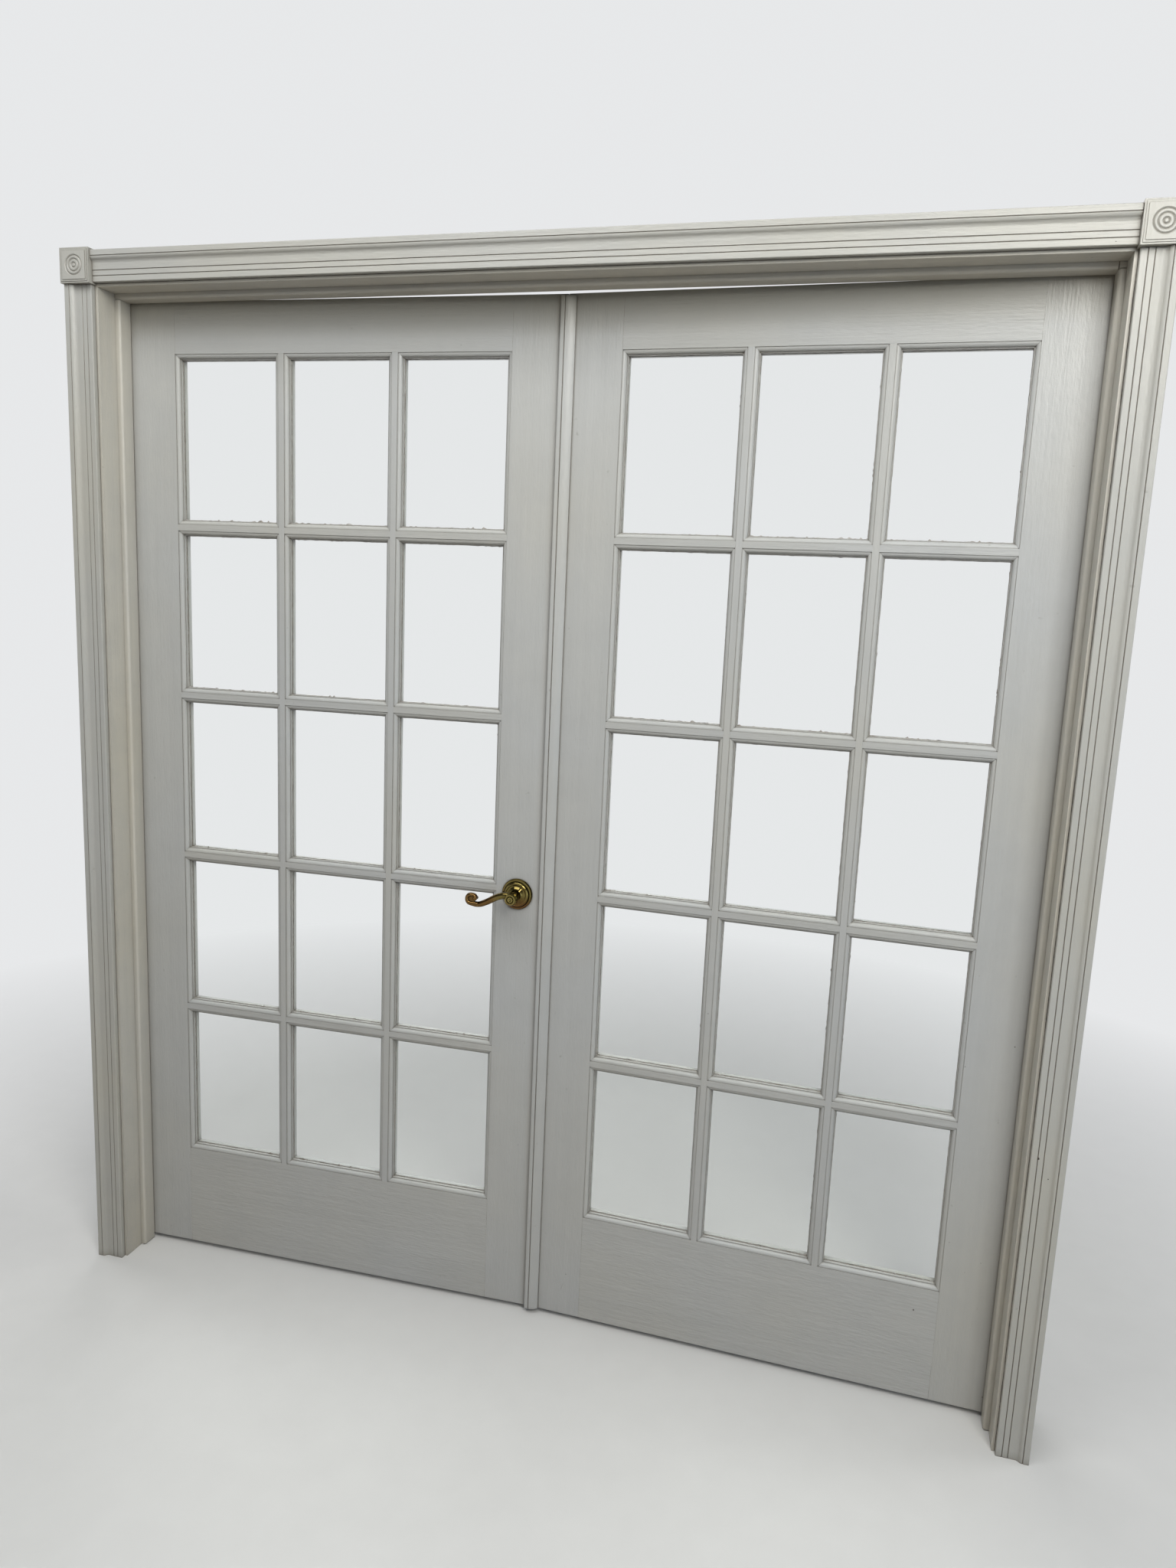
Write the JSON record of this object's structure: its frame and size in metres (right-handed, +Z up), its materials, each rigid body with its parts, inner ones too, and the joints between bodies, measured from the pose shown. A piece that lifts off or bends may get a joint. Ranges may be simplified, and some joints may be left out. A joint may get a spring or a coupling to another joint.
{
  "type": "pair of french doors",
  "caption": "Pair of glazed french doors in a cased frame: panelled glass leaves, butt hinges, lever latch, astragal and flush bolts.",
  "frame": {"origin": "on the finished floor, on the line where the two leaves meet, in the middle of the frame's depth", "axes": "+Z up, the front (the side seen in the picture) faces -Y, +X to the right; the leaves swing towards +Y"},
  "size_m": [1.978, 0.2142, 2.123],
  "materials": {
    "white_paint": "satin white paint",
    "clear_glass": "clear",
    "polished_brass": "polished",
    "latch_steel": "plain"
  },
  "bodies": {
    "frame": {"left_jamb": "white_paint", "left_jamb_filler": "white_paint", "right_jamb": "white_paint", "head_jamb": "white_paint", "left_stop": "white_paint", "right_stop": "white_paint", "head_stop": "white_paint", "front_casing_left": "white_paint", "front_casing_right": "white_paint", "front_casing_head": "white_paint", "front_block_left": "white_paint", "front_block_right": "white_paint", "back_casing_left": "white_paint", "back_casing_right": "white_paint", "back_casing_head": "white_paint", "back_block_left": "white_paint", "back_block_right": "white_paint", "head_keeper_plate": "polished_brass", "left_hinge_jamb_plates": "polished_brass", "left_hinge_pins": "polished_brass", "right_hinge_jamb_plates": "polished_brass", "right_hinge_pins": "polished_brass"},
    "left_leaf": {"left_hinge_stile": "white_paint", "left_meeting_stile": "white_paint", "left_top_rail": "white_paint", "left_bottom_rail": "white_paint", "left_upright_bars": "white_paint", "left_cross_bars": "white_paint", "left_panes": "clear_glass", "left_glazing_beads": "white_paint", "left_hinge_leaf_plates": "polished_brass", "latch_case": "latch_steel", "latch_face_plate": "polished_brass", "front_rosette": "polished_brass", "back_rosette": "polished_brass"},
    "right_leaf": {"right_hinge_stile": "white_paint", "right_meeting_stile": "white_paint", "right_top_rail": "white_paint", "right_bottom_rail": "white_paint", "right_upright_bars": "white_paint", "right_cross_bars": "white_paint", "right_panes": "clear_glass", "right_glazing_beads": "white_paint", "right_hinge_leaf_plates": "polished_brass", "astragal": "white_paint", "strike_plate": "polished_brass", "top_flush_bolt_body": "polished_brass", "foot_flush_bolt_body": "polished_brass"},
    "lever": {"front_lever": "polished_brass", "back_lever": "polished_brass", "lever_spindle": "latch_steel"},
    "latch_bolt": {"latch_bolt": "polished_brass"},
    "top_bolt": {"top_flush_bolt_rod": "polished_brass"},
    "foot_bolt": {"foot_flush_bolt_rod": "polished_brass"}
  },
  "joints": [
    {"name": "left_leaf_swing", "type": "hinge", "parent": "frame", "child": "left_leaf", "pos_m": [-0.917, 0.0639, 1.022], "axis": [0, 0, 1], "range_deg": [-1.6, 163.4]},
    {"name": "right_leaf_swing", "type": "hinge", "parent": "frame", "child": "right_leaf", "pos_m": [0.917, 0.0639, 1.022], "axis": [0, 0, -1], "range_deg": [-1.57, 160.13]},
    {"name": "lever_turn", "type": "hinge", "parent": "left_leaf", "child": "lever", "pos_m": [-0.06118, 0.0644, 0.912], "axis": [0.0279, -0.9996, 0], "range_deg": [0, 45], "stiffness_Nm_per_rad": 1.2, "springref_deg": -20.05},
    {"name": "latch_slide", "type": "slide", "parent": "left_leaf", "child": "latch_bolt", "axis": [-0.9996, -0.0279, 0], "range_m": [0, 0.0095]},
    {"name": "top_bolt_slide", "type": "slide", "parent": "right_leaf", "child": "top_bolt", "axis": [0, 0, 1], "range_m": [0, 0.016]},
    {"name": "foot_bolt_slide", "type": "slide", "parent": "right_leaf", "child": "foot_bolt", "axis": [0, 0, -1], "range_m": [0, 0.024]}
  ],
  "couplings": [
    {"joint": "right_leaf_swing", "follows": "left_leaf_swing", "ratio": 0.98},
    {"joint": "latch_slide", "follows": "lever_turn", "m_per_rad": 0.012096}
  ]
}
